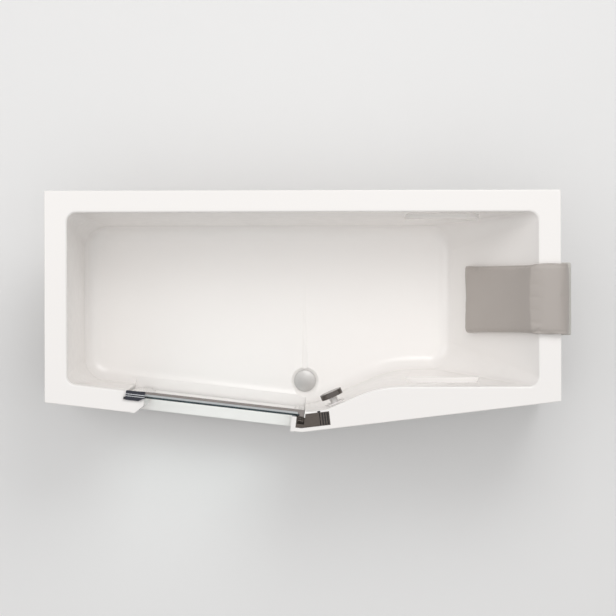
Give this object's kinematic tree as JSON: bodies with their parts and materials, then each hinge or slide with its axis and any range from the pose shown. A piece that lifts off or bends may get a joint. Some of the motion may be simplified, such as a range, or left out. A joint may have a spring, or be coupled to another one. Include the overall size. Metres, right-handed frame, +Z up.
{
  "type": "walk-in bathtub",
  "caption": "Walk-in bathtub with a pointed front, an inward-opening glass door, rocking lock lever, pop-up waste with overflow knob and a headrest cushion draped over its backrest end.",
  "frame": {"origin": "centre of the bounding box in plan, at the floor under the feet", "axes": "+X along the bath from the shower end to the backrest end, +Y to the wall behind, +Z up"},
  "size_m": [1.633, 0.7498, 0.5863],
  "materials": {
    "acrylic": "gloss",
    "frame_white": "satin",
    "apron_white": "gloss",
    "door_glass": "clear",
    "door_profile": "polished",
    "top_rail": "polished",
    "knob_metal": "polished",
    "dark_steel": "polished",
    "pale_strip": "matte",
    "hinge_chrome": "polished",
    "chrome": "polished",
    "lock_metal": "polished",
    "black_plastic": "matte",
    "bush_plastic": "matte",
    "seal_rubber": "matte",
    "gasket_rubber": "matte",
    "waste_plastic": "matte",
    "cable_sheath": "matte",
    "board": "matte",
    "zinc_steel": "satin",
    "foot_rubber": "matte",
    "cushion": "satin",
    "cushion_hem": "matte"
  },
  "bodies": {
    "bath": {"tub_shell": "acrylic", "door_frame": "frame_white", "frame_seal": "seal_rubber", "hinge_cap": "hinge_chrome", "hinge_cap_plug": "black_plastic", "hinge_pins": "chrome", "hinge_bearing": "frame_white", "hinge_washer": "bush_plastic", "lock_case": "lock_metal", "lock_plate": "lock_metal", "lock_pin": "dark_steel", "waste_flange": "chrome", "waste_gasket": "gasket_rubber", "trap_body": "waste_plastic", "overflow_pipe": "waste_plastic", "overflow_body": "waste_plastic", "overflow_gasket": "gasket_rubber", "overflow_escutcheon": "frame_white", "waste_cable": "cable_sheath", "base_board": "board", "rail_screws": "zinc_steel", "foot_nuts": "zinc_steel", "apron_left": "apron_white", "apron_right": "apron_white", "apron_brackets": "zinc_steel", "wall_brackets": "zinc_steel", "cross_rail_1": "zinc_steel", "cross_rail_2": "zinc_steel", "cross_rail_3": "zinc_steel"},
    "door": {"door_glass": "door_glass", "hinge_profile": "door_profile", "lock_profile": "door_profile", "door_top_rail": "top_rail", "door_top_strip": "pale_strip", "door_bottom_rail": "frame_white", "door_sweep": "seal_rubber", "door_keeper": "lock_metal", "hinge_bushes": "bush_plastic"},
    "lock_lever": {"lock_lever": "lock_metal"},
    "waste_knob": {"waste_knob": "knob_metal"},
    "drain_plug": {"drain_plug": "chrome"},
    "headrest": {"cushion_pad": "cushion", "cushion_weight": "cushion_hem"},
    "foot_1": {"foot_spindle_1": "zinc_steel", "foot_pad_1": "foot_rubber"},
    "foot_2": {"foot_spindle_2": "zinc_steel", "foot_pad_2": "foot_rubber"},
    "foot_3": {"foot_spindle_3": "zinc_steel", "foot_pad_3": "foot_rubber"},
    "foot_4": {"foot_spindle_4": "zinc_steel", "foot_pad_4": "foot_rubber"},
    "foot_5": {"foot_spindle_5": "zinc_steel", "foot_pad_5": "foot_rubber"},
    "foot_6": {"foot_spindle_6": "zinc_steel", "foot_pad_6": "foot_rubber"}
  },
  "joints": [
    {"name": "door_hinge", "type": "hinge", "parent": "bath", "child": "door", "pos_m": [-0.54748, -0.2544, 0.3475], "axis": [0, 0, 1], "range_deg": [0, 70]},
    {"name": "lever_rock", "type": "hinge", "parent": "bath", "child": "lock_lever", "pos_m": [0.03475, -0.3342, 0.5545], "axis": [0.116, -0.9933, 0], "range_deg": [-6, 12]},
    {"name": "knob_turn", "type": "hinge", "parent": "bath", "child": "waste_knob", "pos_m": [0.08328, -0.28659, 0.465], "axis": [-0.395, 0.9171, 0.0545], "range_deg": [0, 90]},
    {"name": "plug_lift", "type": "slide", "parent": "bath", "child": "drain_plug", "axis": [0, 0, 1], "range_m": [0, 0.008]},
    {"name": "headrest_lift", "type": "slide", "parent": "bath", "child": "headrest", "axis": [0, 0, 1], "range_m": [0, 0.25]},
    {"name": "foot_1_height", "type": "slide", "parent": "bath", "child": "foot_1", "axis": [0, 0, 1], "range_m": [-0.02, 0]},
    {"name": "foot_2_height", "type": "slide", "parent": "bath", "child": "foot_2", "axis": [0, 0, 1], "range_m": [-0.02, 0]},
    {"name": "foot_3_height", "type": "slide", "parent": "bath", "child": "foot_3", "axis": [0, 0, 1], "range_m": [-0.02, 0]},
    {"name": "foot_4_height", "type": "slide", "parent": "bath", "child": "foot_4", "axis": [0, 0, 1], "range_m": [-0.02, 0]},
    {"name": "foot_5_height", "type": "slide", "parent": "bath", "child": "foot_5", "axis": [0, 0, 1], "range_m": [-0.02, 0]},
    {"name": "foot_6_height", "type": "slide", "parent": "bath", "child": "foot_6", "axis": [0, 0, 1], "range_m": [-0.02, 0]}
  ],
  "couplings": [
    {"joint": "plug_lift", "follows": "knob_turn", "m_per_rad": 0.00509}
  ]
}
